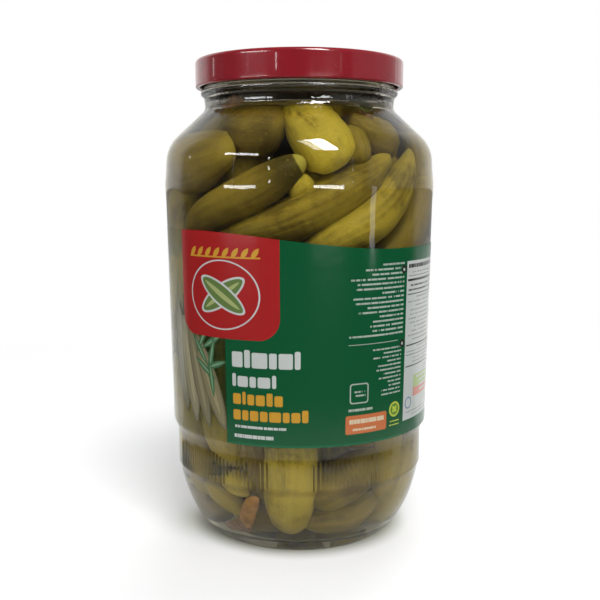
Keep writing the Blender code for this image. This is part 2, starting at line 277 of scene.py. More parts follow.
def reach(z, ball):
    """How far from the axis a ball may sit at each height and stay clear of the inside of the glass."""
    profile = inner_section()[3:]
    offset = ball * np.linspace(-0.98, 0.98, 25)
    inside = np.minimum(profile[:, 0], PANEL_TOP[0] - WALL)
    wall = np.interp(z[:, None] + offset, profile[:, 1], inside)
    half_width = np.sqrt(ball ** 2 - offset ** 2)
    return np.min(wall - half_width, axis=1) - 0.0005


# Shading helpers. Each finds the node tree through the sockets or the node that it is given.

def join(source, target):
    """Link a socket, or set a plain value; a colour of three numbers gets its fourth."""
    if isinstance(source, bpy.types.NodeSocket):
        target.id_data.links.new(source, target)
    elif isinstance(source, tuple) and len(source) < len(target.default_value):
        target.default_value = (*source, 1.0)
    else:
        target.default_value = source


def feed(node, **values):
    """A node's properties set, and its inputs linked or set, by name."""
    for key, value in values.items():
        if hasattr(node, key):
            setattr(node, key, value)
        else:
            join(value, node.inputs[key.replace("_", " ")])
    return node


def add_node(tree, kind, **values):
    """A new shader node of a kind, fed."""
    return feed(tree.nodes.new("ShaderNode" + kind), **values)


def tree_of(values):
    """The node tree of the first socket among some values."""
    return next(value.id_data for value in values if isinstance(value, bpy.types.NodeSocket))


def calc(operation, *values):
    """A Math node's result."""
    made = add_node(tree_of(values), "Math", operation=operation)
    for value, target in zip(values, made.inputs):
        join(value, target)
    return made.outputs[0]


def times(first, second):
    """A product."""
    return calc("MULTIPLY", first, second)


def plus(first, second):
    """A sum."""
    return calc("ADD", first, second)


def minus(first, second):
    """A difference."""
    return calc("SUBTRACT", first, second)


def times_plus(first, second, third):
    """The product of the first two plus the third."""
    return calc("MULTIPLY_ADD", first, second, third)


def blend(factor, first, second):
    """Two colours mixed by a factor."""
    made = add_node(factor.id_data, "Mix", data_type="RGBA")
    for value, place in ((factor, 0), (first, 6), (second, 7)):
        join(value, made.inputs[place])
    return made.outputs[2]


def ramp(value, low, high, to_low=0.0, to_high=1.0):
    """A value mapped smoothly from one range to another and clamped."""
    return add_node(value.id_data, "MapRange", interpolation_type="SMOOTHSTEP", Value=value,
                    From_Min=low, From_Max=high, To_Min=to_low, To_Max=to_high).outputs[0]


def noise(vector, scale, detail=3.0, roughness=0.55):
    """A noise value on a vector."""
    return add_node(vector.id_data, "TexNoise", Vector=vector, Scale=scale, Detail=detail,
                    Roughness=roughness).outputs[0]


def axes(vector):
    """A vector's three parts."""
    return tuple(add_node(vector.id_data, "SeparateXYZ", Vector=vector).outputs)


def stretched(vector, share):
    """A vector with its upright part multiplied, for patterns drawn out along Z."""
    return add_node(vector.id_data, "Mapping", Vector=vector, Scale=(1.0, 1.0, share)).outputs[0]


def scaled(colour, factor):
    """A colour times a value."""
    return add_node(colour.id_data, "VectorMath", operation="SCALE", Vector=colour, Scale=factor).outputs[0]


def new_group(name, inputs, outputs):
    """An empty node group with named sockets of a kind: (tree, its sockets, the node for its results)."""
    tree = bpy.data.node_groups.new(name, "ShaderNodeTree")
    for sockets, direction in ((inputs, "INPUT"), (outputs, "OUTPUT")):
        for label, kind in sockets.items():
            tree.interface.new_socket(label, in_out=direction, socket_type="NodeSocket" + kind)
    return tree, tree.nodes.new("NodeGroupInput").outputs, tree.nodes.new("NodeGroupOutput")


def use_group(group, **values):
    """A placed node group's outputs, its inputs linked or set."""
    return add_node(tree_of(values.values()), "Group", node_tree=group, **values).outputs


def new_material(name, **values):
    """A Principled material: (material, tree, shader)."""
    made = bpy.data.materials.new(name)
    made.use_nodes = True
    return made, made.node_tree, feed(made.node_tree.nodes["Principled BSDF"], **values)


def coordinates(tree, socket="Object"):
    """The piece's own coordinates."""
    return tree.nodes.new("ShaderNodeTexCoord").outputs[socket]


def add_bump(shader, height, strength, distance):
    """Height to the shader's normal."""
    bump = add_node(shader.id_data, "Bump", Strength=strength, Distance=distance, Height=height)
    feed(shader, Normal=bump.outputs[0])


def to_surface(factor, first, second):
    """Two shaders mixed by a factor as the material's surface."""
    tree = factor.id_data
    mix = tree.nodes.new("ShaderNodeMixShader")
    for source, target in zip((factor, first.outputs[0], second.outputs[0]), mix.inputs):
        join(source, target)
    feed(tree.nodes["Material Output"], Surface=mix.outputs[0])


def ray_kinds(tree):
    """Three values: is the ray one through glass, a mirrored one outside glass, or a soft one."""
    path = tree.nodes.new("ShaderNodeLightPath").outputs
    through = path["Is Transmission Ray"]
    return through, times(path["Is Glossy Ray"], minus(1.0, through)), path["Is Diffuse Ray"]


def let_lamps_through(shader, tint):
    """Glass that lamps and soft light cross straight, tinted, so that what is inside is lit."""
    path = shader.id_data.nodes.new("ShaderNodeLightPath").outputs
    either = calc("MAXIMUM", path["Is Shadow Ray"], path["Is Diffuse Ray"])
    to_surface(either, shader, add_node(shader.id_data, "BsdfTransparent", Color=tint))


# Finishes

def soft_waves():
    """Slow uneven swell of blown glass or lacquer: two noises added."""
    tree, given, result = new_group(
        "soft_waves", {"Vector": "Vector", "Scale": "Float"}, {"Height": "Float"}
    )
    first = noise(given["Vector"], given["Scale"], 2.0)
    second = noise(given["Vector"], times(given["Scale"], 4.0), 1.0)
    feed(result, Height=times_plus(second, 0.2, first))
    return tree


WAVES = soft_waves()
GLASS_TONE = (0.955, 0.975, 0.96)


def glass_finish(name, wet):
    """Clear glass; where it is wet on the inside it hardly mirrors."""
    made, tree, shader = new_material(
        name, Base_Color=GLASS_TONE, Roughness=0.0, Transmission_Weight=1.0, IOR=1.5
    )
    if wet:
        feed(shader, Specular_Tint=(0.0, 0.0, 0.0))
    else:
        # Painted shade: darker in the neck, where the lid's shadowed inside shows dark, and crinkled there; a
        # painted dark olive line under the rib band, where refraction shows dark
        place = coordinates(tree)
        height = axes(place)[2]
        waves = use_group(WAVES, Vector=place, Scale=45.0)[0]
        crinkle = noise(stretched(place, 0.22), 260.0, 3.0)
        colour = blend(ramp(height, 0.168, 0.18), GLASS_TONE, (0.56, 0.54, 0.47))
        # Painted shade: the dark olive line under the rib band stands in for refraction's dark edge
        away = calc("ABSOLUTE", minus(height, RIB_BOTTOM - 0.0005))
        line = ramp(times_plus(waves, 0.0022, away), 0.004, 0.0016, 0.0, 0.9)
        feed(shader, Base_Color=blend(line, colour, (0.42, 0.37, 0.13)))
        near_neck = ramp(height, 0.166, 0.178, 0.0, 2.4)
        add_bump(shader, times_plus(crinkle, near_neck, waves), 0.14, 0.0012)
    let_lamps_through(shader, (0.95, 0.97, 0.95))
    return made


def brine_finish():
    """Slightly yellow brine."""
    made, tree, shader = new_material(
        "brine", Base_Color=(0.93, 0.91, 0.76), Roughness=0.0, Transmission_Weight=1.0, IOR=1.34,
        Specular_Tint=(0.1, 0.1, 0.1),
    )
    add_bump(shader, use_group(WAVES, Vector=coordinates(tree), Scale=70.0)[0], 0.05, 0.0006)
    let_lamps_through(shader, (0.93, 0.9, 0.74))
    return made


SKIN_DEEP = (0.112, 0.077, 0.011)
SKIN_OLIVE = (0.225, 0.158, 0.019)
SKIN_YELLOW = (0.47, 0.35, 0.042)
SKIN_BROWN = (0.155, 0.098, 0.021)
SKIN_TIP = (0.42, 0.315, 0.045)
SKIN_STEM = (0.07, 0.06, 0.014)
SCAR_RING = (0.045, 0.034, 0.008)
SCAR_DISC = (0.36, 0.3, 0.06)
SKIN_DOTS = (0.4, 0.31, 0.075)


def skin_pattern():
    """Cured cucumber skin: slow blotches, faint lengthwise streaks, paler tips and fine dots."""
    tree, given, result = new_group(
        "cucumber_skin", {"Vector": "Vector", "UV": "Vector", "Tone": "Color", "Scar": "Float"},
        {"Colour": "Color", "Height": "Float", "Roughness": "Float"},
    )
    vector, scar = given["Vector"], given["Scar"]
    yellow, brown, draw = add_node(tree, "SeparateColor", Color=given["Tone"]).outputs
    around, along, _ = axes(given["UV"])
    turn = times(around, 2.0 * math.pi)
    strip = add_node(
        tree, "CombineXYZ", X=times(calc("COSINE", turn), 3.2), Y=times(calc("SINE", turn), 3.2),
        Z=times_plus(draw, 30.0, times(along, 1.3)),
    )
    streaks = noise(strip.outputs[0], 1.5, 4.0, 0.6)
    body = times(ramp(along, 0.03, 0.2), ramp(along, 0.97, 0.82))
    streaks = times_plus(minus(streaks, 0.5), body, 0.5)
    blotch = noise(vector, 48.0, 2.0, 0.5)
    mottle = noise(vector, 330.0, 3.0, 0.6)
    grain = noise(vector, 2000.0, 2.0, 0.5)
    depth = plus(times(blotch, 0.62), times(streaks, 0.38))
    depth = plus(depth, times_plus(mottle, 0.26, -0.13))
    cells = add_node(tree, "TexVoronoi", Vector=vector, Scale=330.0)
    dots = ramp(cells.outputs["Distance"], 0.2, 0.05)
    lighter = ramp(times_plus(yellow, 0.2, depth), 0.44, 0.74)
    tip = times(ramp(along, 0.84, 0.985), ramp(streaks, 0.3, 0.6, 0.5, 1.0))
    colour = blend(ramp(depth, 0.34, 0.62), SKIN_DEEP, SKIN_OLIVE)
    for factor, ink in (
        (times(lighter, yellow), SKIN_YELLOW),
        (times(brown, 0.75), SKIN_BROWN),
        (times(tip, 0.4), SKIN_TIP),
        (times(ramp(along, 0.12, 0.01), 0.6), SKIN_STEM),
        (times(times(ramp(along, 0.68, 0.88), scar), 0.88), SCAR_RING),
        (times(ramp(along, 0.935, 0.95), scar), SCAR_DISC),
        (times(dots, 0.2), SKIN_DOTS),
    ):
        colour = blend(factor, colour, ink)
    height = plus(times(mottle, 0.6), times(streaks, 1.0))
    feed(result, Colour=scaled(colour, ramp(grain, 0.35, 0.65, 0.9, 1.1)),
         Height=times_plus(dots, 0.4, height), Roughness=ramp(mottle, 0.3, 0.7, 0.34, 0.52))
    return tree


SKIN = skin_pattern()


def pickle_finish(name):
    """Wet cured skin."""
    made, tree, shader = new_material(name, Specular_IOR_Level=0.04)
    tone = add_node(tree, "VertexColor", layer_name="tone")
    scar = add_node(tree, "Attribute", attribute_name="scar")
    skin = use_group(SKIN, Vector=coordinates(tree), UV=coordinates(tree, "UV"),
                     Tone=tone.outputs[0], Scar=scar.outputs["Fac"])
    feed(shader, Base_Color=skin["Colour"], Roughness=skin["Roughness"])
    add_bump(shader, skin["Height"], 0.55, 0.0007)
    return made


def lacquer_finish():
    """Glossy red lacquer on tin, slightly orange-peeled, with a few fine scuffs."""
    made, tree, shader = new_material(
        "red_lacquer", Coat_Weight=0.6, Coat_Roughness=0.05, Specular_IOR_Level=0.3
    )
    place = coordinates(tree)
    cloud = noise(place, 60.0, 3.0)
    feed(shader, Base_Color=blend(cloud, (0.205, 0.0075, 0.014), (0.245, 0.0095, 0.0175)),
         Roughness=ramp(noise(place, 700.0, 2.0), 0.66, 0.74, 0.18, 0.3))
    creases = ramp(noise(stretched(place, 0.05), 110.0, 2.0), 0.56, 0.66)
    waves = use_group(WAVES, Vector=place, Scale=120.0)[0]
    add_bump(shader, times_plus(creases, 1.2, waves), 0.1, 0.0008)
    return made


def clouded_finish(name, detail, first, second, **values):
    """A dull finish whose colour drifts between two, as the inside of the lid or the heap's middle, which is
    painted dark as shade.
    """
    made, tree, shader = new_material(name, **values)
    feed(shader, Base_Color=blend(noise(coordinates(tree), 90.0, detail), first, second))
    return made


# Printed film. Its UV is the angle from the back, 0 to 1 round the jar, and the height over its band.

LABEL_LOW = 0.0484
LABEL_HIGH = 0.1306
LABEL_LEVEL_TOP = 0.1238
LABEL_RISE = 0.0068
LABEL_ROWS = 40
FILM_LOW_RADIUS = 0.05488
FILM_FACES = (0.00022, 0.00006)
AROUND_MM = 2.0 * math.pi * 55.6
SOFT_EDGE = 0.1

INK_GREEN = (0.0032, 0.078, 0.027)
# A paler green for a painted glint along the film's lower edge
INK_EDGE = (0.0055, 0.115, 0.042)
INK_RED = (0.335, 0.014, 0.0145)
INK_WHITE = (0.5, 0.535, 0.52)
INK_GOLD = (0.54, 0.285, 0.028)
INK_ORANGE = (0.52, 0.15, 0.05)
INK_DARK = (0.02, 0.022, 0.02)
INK_GREY = (0.3, 0.31, 0.31)
INK_LIME = (0.42, 0.52, 0.06)
INK_SMALL = (0.36, 0.43, 0.37)
INK_PALE = (0.42, 0.5, 0.43)
INK_CREAM = (0.62, 0.52, 0.36)


def label_top(phi):
    """The film's upper edge: level on the right, with a wave up to the left."""
    rise = smooth_step(phi, -140.0, -75.0) * (1.0 - smooth_step(phi, -45.0, 42.0))
    return LABEL_LEVEL_TOP + LABEL_RISE * rise


def shape_group(name):
    """A group for a turned shape: (tree, its sockets, result, place along, place across)."""
    labels = ("X", "Y", "Centre X", "Centre Y", "Half Width", "Half Height", "Turn", "Round")
    tree, given, result = new_group(name, dict.fromkeys(labels, "Float"), {"Mask": "Float"})
    x = minus(given["X"], given["Centre X"])
    y = minus(given["Y"], given["Centre Y"])
    angle = calc("RADIANS", given["Turn"])
    cosine, sine = calc("COSINE", angle), calc("SINE", angle)
    along = plus(times(x, cosine), times(y, sine))
    across = minus(times(y, cosine), times(x, sine))
    return tree, given, result, along, across


def box_shape():
    """A box with round corners: one inside, zero outside, its edge a tenth of a millimetre soft."""
    tree, given, result, along, across = shape_group("box_shape")
    corner = given["Round"]
    gaps = []
    for value, half in ((along, "Half Width"), (across, "Half Height")):
        gaps.append(minus(calc("ABSOLUTE", value), minus(given[half], corner)))
    outside = [calc("MAXIMUM", gap, 0.0) for gap in gaps]
    far = calc("SQRT", plus(*[times(value, value) for value in outside]))
    near = calc("MINIMUM", calc("MAXIMUM", *gaps), 0.0)
    feed(result, Mask=ramp(minus(plus(far, near), corner), SOFT_EDGE, -SOFT_EDGE))
    return tree


def leaf_shape():
    """A pointed leaf or, at Round one, an ellipse: half height times one minus the square along it."""
    tree, given, result, along, across = shape_group("leaf_shape")
    t = calc("DIVIDE", along, given["Half Width"])
    left = minus(1.0, times(t, t))
    pointed = calc("MAXIMUM", left, 0.0)
    form = times_plus(minus(calc("SQRT", pointed), pointed), given["Round"], pointed)
    distance = minus(calc("ABSOLUTE", across), times(form, given["Half Height"]))
    inside = ramp(distance, SOFT_EDGE, -SOFT_EDGE)
    feed(result, Mask=times(inside, calc("GREATER_THAN", left, 0.0)))
    return tree


def line_block():
    """Fine rules like small print: level lines in a box, each with its own length and gaps."""
    labels = ("X", "Y", "Left", "Right", "Low", "High", "Pitch", "Weight", "Ragged", "Draw")
    tree, given, result = new_group("line_block", dict.fromkeys(labels, "Float"), {"Mask": "Float"})
    x, y, left, right, low, high, pitch, weight, ragged, draw = (given[label] for label in labels)
    step = calc("DIVIDE", minus(y, low), pitch)
    number = calc("FLOOR", step)
    within = calc("ABSOLUTE", minus(calc("FRACT", step), 0.5))
    line = calc("LESS_THAN", within, times(weight, 0.5))
    seed = add_node(tree, "CombineXYZ", X=number, Y=draw)
    chance = add_node(tree, "TexWhiteNoise", noise_dimensions="2D", Vector=seed.outputs[0])
    start = plus(left, times(times(chance.outputs["Value"], ragged), minus(right, left)))
    spell = add_node(tree, "CombineXYZ", X=times(x, 0.95), Y=times(number, 7.3), Z=draw)
    mask = times(line, calc("GREATER_THAN", noise(spell.outputs[0], 1.0, 3.0, 0.8), 0.44))
    for least, most, value in ((start, right, x), (low, high, y)):
        mask = times(mask, calc("GREATER_THAN", value, least))
        mask = times(mask, calc("LESS_THAN", value, most))
    feed(result, Mask=mask)
    return tree


BOX = box_shape()
LEAF = leaf_shape()
LINES = line_block()


class Film:
    """A clear film material on which inks are laid over each other, in millimetres round and up the jar."""

    def __init__(self, name, cover):
        self.made, self.tree, self.shader = new_material(name, Roughness=0.14, Specular_IOR_Level=0.5)
        around, up, _ = axes(coordinates(self.tree, "UV"))
        self.x = times_plus(around, AROUND_MM, -AROUND_MM / 2.0)
        self.y = times_plus(up, (LABEL_HIGH - LABEL_LOW) * 1000.0, LABEL_LOW * 1000.0)
        self.colour = INK_GREEN
        self.cover = cover

    def lay(self, mask, ink, cover=1.0):
        """Print an ink where a mask is one."""
        self.colour = blend(mask, self.colour, ink)
        if self.cover != 1.0:
            bare = isinstance(self.cover, float)
            more = cover - self.cover if bare else minus(cover, self.cover)
            self.cover = times_plus(more, mask, self.cover)

    def shape(self, group, ink, x, y, half_width, half_height, turn=0.0, corner=0.0, cover=1.0):
        """Print a group's shape about its middle."""
        mask = use_group(group, X=self.x, Y=self.y, Centre_X=x, Centre_Y=y, Half_Width=half_width,
                         Half_Height=half_height, Turn=turn, Round=corner)[0]
        self.lay(mask, ink, cover)

    def box(self, ink, left, right, low, high, corner=0.0):
        """Print a box between two places each way."""
        self.shape(BOX, ink, (left + right) / 2.0, (low + high) / 2.0, (right - left) / 2.0,
                   (high - low) / 2.0, 0.0, corner)

    def disc(self, ink, x, y, radius, wider=1.0):
        """Print a disc, or an oval."""
        self.shape(LEAF, ink, x, y, radius * wider, radius, 0.0, 1.0)

    def rules(self, ink, left, right, low, high, pitch, weight, ragged, draw):
        """Print a block of fine rules."""
        mask = use_group(LINES, X=self.x, Y=self.y, Left=left, Right=right, Low=low, High=high,
                         Pitch=pitch, Weight=weight, Ragged=ragged, Draw=draw)[0]
        self.lay(mask, ink)

    def finish(self):
        """Colour, cover and a slight waviness to the shader."""
        feed(self.shader, Base_Color=self.colour, Alpha=self.cover)
        waves = use_group(WAVES, Vector=coordinates(self.tree), Scale=90.0)
        add_bump(self.shader, waves[0], 0.1, 0.0008)
        return self.made


def front_left_print():
    """Food on clear film, the green and red fields, a badge and bars for the words."""
    film = Film("film_front_left", 0.05)
    # Spears on the clear film at the left: middle, low, high, width, turn, colour; each is three leaves
    for x, low, high, width, turn, ink in (
        (-56.0, 57.0, 101.0, 9.5, 97.0, (0.21, 0.2, 0.13)),
        (-50.5, 54.0, 97.0, 10.0, 101.0, (0.29, 0.268, 0.165)),
        (-44.5, 52.0, 95.0, 8.0, 106.0, (0.215, 0.195, 0.115)),
        (-38.0, 52.0, 92.0, 8.5, 112.0, (0.245, 0.215, 0.12)),
    ):
        for share, shade in ((1.0, 0.62), (0.8, 0.9), (0.28, 1.25)):
            half_length = (high - low) / 2.0 * (0.55 + 0.45 * share)
            film.shape(LEAF, tuple(value * shade for value in ink), x, (low + high) / 2.0, half_length,
                       width / 2.0 * share, turn, 0.55, 0.92)
    # Dill over them: place, turn, length
    for x, y, turn, length in (
        (-41.0, 90.0, 60.0, 17.0), (-36.5, 88.0, 30.0, 13.0), (-43.0, 84.0, 125.0, 15.0),
        (-37.0, 82.0, 78.0, 18.0), (-34.5, 79.0, 20.0, 11.0), (-40.5, 77.0, 145.0, 14.0),
        (-37.0, 73.0, 98.0, 15.0),
    ):
        for part, half_height, ink in ((2.0, 1.3, (0.05, 0.13, 0.06)), (2.6, 0.45, (0.17, 0.3, 0.17))):
            film.shape(LEAF, ink, x, y, length / part, half_height, turn, 0.0, 0.95)

    # Green and red fields
    for left, low, high in ((-29.8, 40.0, 90.0), (-16.0, 40.0, 104.0), (-7.2, 40.0, 140.0)):
        film.box(INK_GREEN, left, 170.0, low, high)
    # A painted glint: a paler green line along the film's lower edge
    film.box(INK_EDGE, -29.8, 170.0, 48.0, 49.3)
    film.box(INK_RED, -53.8, -7.2, 100.0, 160.0, 0.2)
    film.box(INK_RED, -53.8, -7.2, 89.8, 110.0, 8.5)

    # A round badge with crossed cucumbers, and a gold border of leaves over it
    film.disc(INK_WHITE, -31.0, 106.5, 13.4, 1.22)
    film.disc(INK_RED, -31.0, 106.5, 12.9, 1.22)
    for turn in (33.0, 147.0):
        for half_length, half_width, ink in (
            (12.0, 4.2, INK_WHITE), (11.0, 3.4, (0.11, 0.175, 0.05)), (9.5, 1.0, (0.33, 0.38, 0.15))
        ):
            film.shape(LEAF, ink, -31.0, 106.5, half_length, half_width, turn, 0.8)
    film.box(INK_GOLD, -47.5, -14.5, 120.6, 121.2, 0.2)
    for step in range(8):
        film.shape(LEAF, INK_GOLD, -45.6 + 4.15 * step, 122.6, 2.5, 1.0, 52.0)

    # Bars in place of the words: left, low, high, widths, ink
    for left, low, high, widths, ink in (
        (-26.8, 79.2, 85.2, (4.6, 2.4, 6.2, 3.0, 5.4, 2.2), INK_WHITE),
        (-26.8, 71.6, 75.8, (1.6, 4.4, 2.6, 5.0, 1.6), INK_WHITE),
        (-26.6, 64.6, 68.8, (3.4, 1.4, 2.8, 3.6, 2.4, 3.2), INK_GOLD),
        (-26.6, 58.4, 62.4, (3.2, 2.6, 3.4, 3.0, 4.6, 2.6, 3.4, 2.4), INK_GOLD),
    ):
        for width in widths:
            film.box(ink, left, left + width, low, high + 0.9 * (width < 2.5), 0.7)
            left += width + 0.7
    film.rules(INK_WHITE, -26.4, -5.0, 54.6, 57.0, 2.4, 0.42, 0.05, 3.0)
    film.rules(INK_WHITE, -26.4, -10.0, 50.6, 53.4, 2.8, 0.5, 0.05, 12.0)
    return film.finish()


def front_right_print():
    """Green with fine rules, an open frame, an orange tag, a badge and two dark dots."""
    film = Film("film_front_right", 1.0)
    # A painted glint: a paler green line along the film's lower edge
    film.box(INK_EDGE, -29.8, 170.0, 48.0, 49.3)
    film.rules(INK_SMALL, 16.0, 45.6, 90.0, 118.5, 1.8, 0.4, 0.72, 1.0)
    film.rules(INK_SMALL, 29.6, 45.0, 66.2, 86.0, 1.65, 0.38, 0.55, 2.0)
    film.box(INK_SMALL, 19.0, 42.5, 87.7, 87.95)
    film.box(INK_SMALL, 19.8, 28.0, 64.8, 72.8, 1.2)
    film.box(INK_GREEN, 20.3, 27.5, 65.3, 72.3, 0.9)
    film.rules(INK_SMALL, 21.4, 26.6, 67.2, 70.4, 1.5, 0.45, 0.2, 4.0)
    film.rules(INK_SMALL, 18.4, 30.0, 61.4, 63.2, 1.8, 0.55, 0.1, 13.0)
    film.box(INK_ORANGE, 18.2, 37.2, 52.8, 60.2, 0.8)
    film.rules(INK_CREAM, 19.8, 35.8, 56.0, 59.4, 3.4, 0.52, 0.05, 5.0)
    film.rules(INK_CREAM, 21.0, 32.0, 53.6, 55.4, 1.8, 0.5, 0.2, 14.0)
    film.disc(INK_LIME, 41.8, 60.1, 3.1)
    film.disc((0.1, 0.22, 0.03), 41.8, 60.1, 2.3)
    for turn in (45.0, 135.0):
        film.shape(LEAF, INK_LIME, 41.8, 60.1, 1.8, 0.8, turn)
    film.rules(INK_LIME, 38.6, 44.8, 53.0, 56.4, 1.5, 0.3, 0.2, 15.0)
    for y in (86.2, 115.4):
        film.disc(INK_DARK, 45.4, y, 1.6)
        film.disc(INK_SMALL, 45.4, y, 0.6)
    return film.finish()


def table_print():
    """Green with a white table panel, its rules, two small colour patches and a ring."""
    film = Film("film_table", 1.0)
    film.box(INK_WHITE, 47.4, 112.0, 54.0, 118.4)
    for low, high in ((110.4, 111.3), (105.0, 105.35), (84.4, 84.95), (80.6, 80.8), (75.8, 76.2)):
        film.box(INK_DARK, 48.2, 111.0, low, high)
    film.rules(INK_DARK, 48.4, 90.0, 115.0, 117.8, 2.8, 0.55, 0.05, 16.0)
    film.rules((0.26, 0.27, 0.27), 48.4, 96.0, 111.8, 114.6, 1.4, 0.34, 0.1, 6.0)
    film.rules((0.1, 0.1, 0.1), 48.4, 80.0, 106.0, 109.6, 1.8, 0.4, 0.1, 17.0)
    film.rules(INK_GREY, 48.4, 70.0, 86.0, 104.6, 1.7, 0.32, 0.35, 7.0)
    film.rules(INK_GREY, 78.0, 108.0, 86.0, 104.6, 1.7, 0.32, 0.75, 18.0)
    film.rules((0.32, 0.33, 0.33), 48.4, 108.0, 76.8, 84.0, 1.5, 0.32, 0.2, 8.0)
    film.box((0.36, 0.46, 0.2), 55.0, 74.0, 66.4, 71.8)
    film.box((0.55, 0.22, 0.17), 55.0, 74.0, 62.8, 66.4)
    film.rules(INK_WHITE, 58.0, 71.0, 63.6, 71.4, 2.0, 0.4, 0.3, 19.0)
    film.disc((0.16, 0.22, 0.34), 51.2, 60.9, 2.5)
    film.disc(INK_WHITE, 51.2, 60.9, 1.9)
    film.rules(INK_GREY, 48.6, 96.0, 54.8, 57.8, 1.5, 0.34, 0.3, 9.0)
    return film.finish()


def back_print():
    """Green with pale rules and a column of slices at the back, clear film beyond."""
    film = Film("film_back", 0.05)
    film.box(INK_GREEN, 100.0, 170.0, 40.0, 140.0)
    film.rules(INK_PALE, 118.0, 160.0, 92.0, 118.0, 2.1, 0.42, 0.4, 10.0)
    for y in (59.0, 70.5, 82.0):
        film.disc((0.36, 0.44, 0.18), 127.0, y, 5.0)
        film.disc((0.5, 0.54, 0.27), 127.0, y, 3.8)
    film.rules(INK_PALE, 137.0, 160.0, 56.0, 86.0, 2.1, 0.42, 0.4, 11.0)
    return film.finish()


# Pieces

def glass_jar():
    """The jar: one closed shell, its rib band more finely divided than the rest."""
    upper = np.concatenate([inner_section(), outer_upper_section()])
    lower = outer_lower_section()
    coarse_phi = full_turn(COLUMNS)[None, :]
    fine_columns = COLUMNS * RIB_SPLIT
    fine_phi = full_turn(fine_columns)
    upper_rings = wall_point(coarse_phi, upper[1:, :1], upper[1:, 1:])
    lower_rings = wall_point(coarse_phi, lower[:-1, :1], lower[:-1, 1:])

    # Ribs: a raised half wave each, faded at the band's ends and outside its two stretches
    levels = np.linspace(RIB_TOP - 0.0012, RIB_BOTTOM + 0.0009, 10)
    z = np.array([RIB_TOP - 0.0004, *levels, RIB_BOTTOM])[:, None]
    wave = np.abs(np.sin(np.radians(fine_phi / RIB_PITCH * 180.0)))[None, :]
    fade = 1.0 - smooth_step(z, RIB_TOP - 0.002, RIB_TOP - 0.0005)
    fade = smooth_step(z, RIB_BOTTOM, RIB_BOTTOM + 0.0012) * fade
    away = [np.abs((fine_phi - middle + 180.0) % 360.0 - 180.0) for middle in RIB_MIDDLES]
    inside = 1.0 - smooth_step(np.minimum(*away), RIB_HALF_WIDTH - 1.5, RIB_HALF_WIDTH + 1.5)[None, :]
    slope = RIB_BAND_RADIUS - 0.00005 * (RIB_TOP - z) / (RIB_TOP - RIB_BOTTOM)
    rib_rings = wall_point(fine_phi[None, :], slope + RIB_HEIGHT * wave * fade * inside, z)

    ends = np.stack([upper[0], lower[-1]])
    rings = (upper_rings, rib_rings, lower_rings, wall_point(np.zeros(2), ends[:, 0], ends[:, 1]))
    points = np.concatenate([part.reshape(-1, 3) for part in rings])
    upper_rows, rib_rows, lower_rows = len(upper) - 1, len(z), len(lower) - 1
    rib_start = upper_rows * COLUMNS
    lower_start = rib_start + rib_rows * fine_columns
    pole = lower_start + lower_rows * COLUMNS

    def stitch(coarse_start, fine_start, coarse_above):
        """Faces with one coarse edge and the fine edges that meet it."""
        i = np.arange(COLUMNS)
        j = (i + 1) % COLUMNS
        fine = (i[:, None] * RIB_SPLIT + np.arange(RIB_SPLIT + 1)[None, :]) % fine_columns + fine_start
        left, right = coarse_start + i[:, None], coarse_start + j[:, None]
        order = [right, left, fine] if coarse_above else [fine[:, ::-1], left, right]
        return np.concatenate(order, axis=1).tolist()

    faces = fan_faces(pole, 0, COLUMNS, True)
    faces += grid_faces(upper_rows, COLUMNS)
    wet_faces = COLUMNS + int(np.sum(inner_section()[1:, 1] < LIQUID_Z)) * COLUMNS
    faces += stitch(rib_start - COLUMNS, rib_start, True)
    faces += grid_faces(rib_rows, fine_columns, rib_start)
    faces += stitch(lower_start, lower_start - fine_columns, False)
    faces += grid_faces(lower_rows, COLUMNS, lower_start)
    faces += fan_faces(pole + 1, lower_start + (lower_rows - 1) * COLUMNS, COLUMNS, False)
    face_material = np.zeros(len(faces), dtype=np.int32)
    face_material[:wet_faces] = 1
    finishes = [glass_finish("clear_glass", False), glass_finish("wet_glass", True)]
    item = new_piece("jar_glass", points, faces, finishes, face_material=face_material)
    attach(item, "root")
    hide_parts("glass_jar")


def brine():
    """What fills the jar: the inside of the glass, a hair larger, its level top creeping up the wall."""
    section = inner_section()
    wall = float(np.interp(LIQUID_Z, section[3:, 1], section[3:, 0]))
    hair = 0.00006
    grown = section[section[:, 1] < LIQUID_Z - 0.0004] + np.array([hair, 0.0])
    grown[0, 0] = 0.0
    grown[:3, 1] -= hair
    edge = np.array([[wall + hair, LIQUID_Z + 0.0006], [wall - 0.0006, LIQUID_Z + 0.0001],
                     [wall - 0.0018, LIQUID_Z - 0.0002], [0.0, LIQUID_Z - 0.0002]])
    item = turned("brine_fill", np.concatenate([grown, edge]), [brine_finish()], sharp=60)
    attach(item, "root")


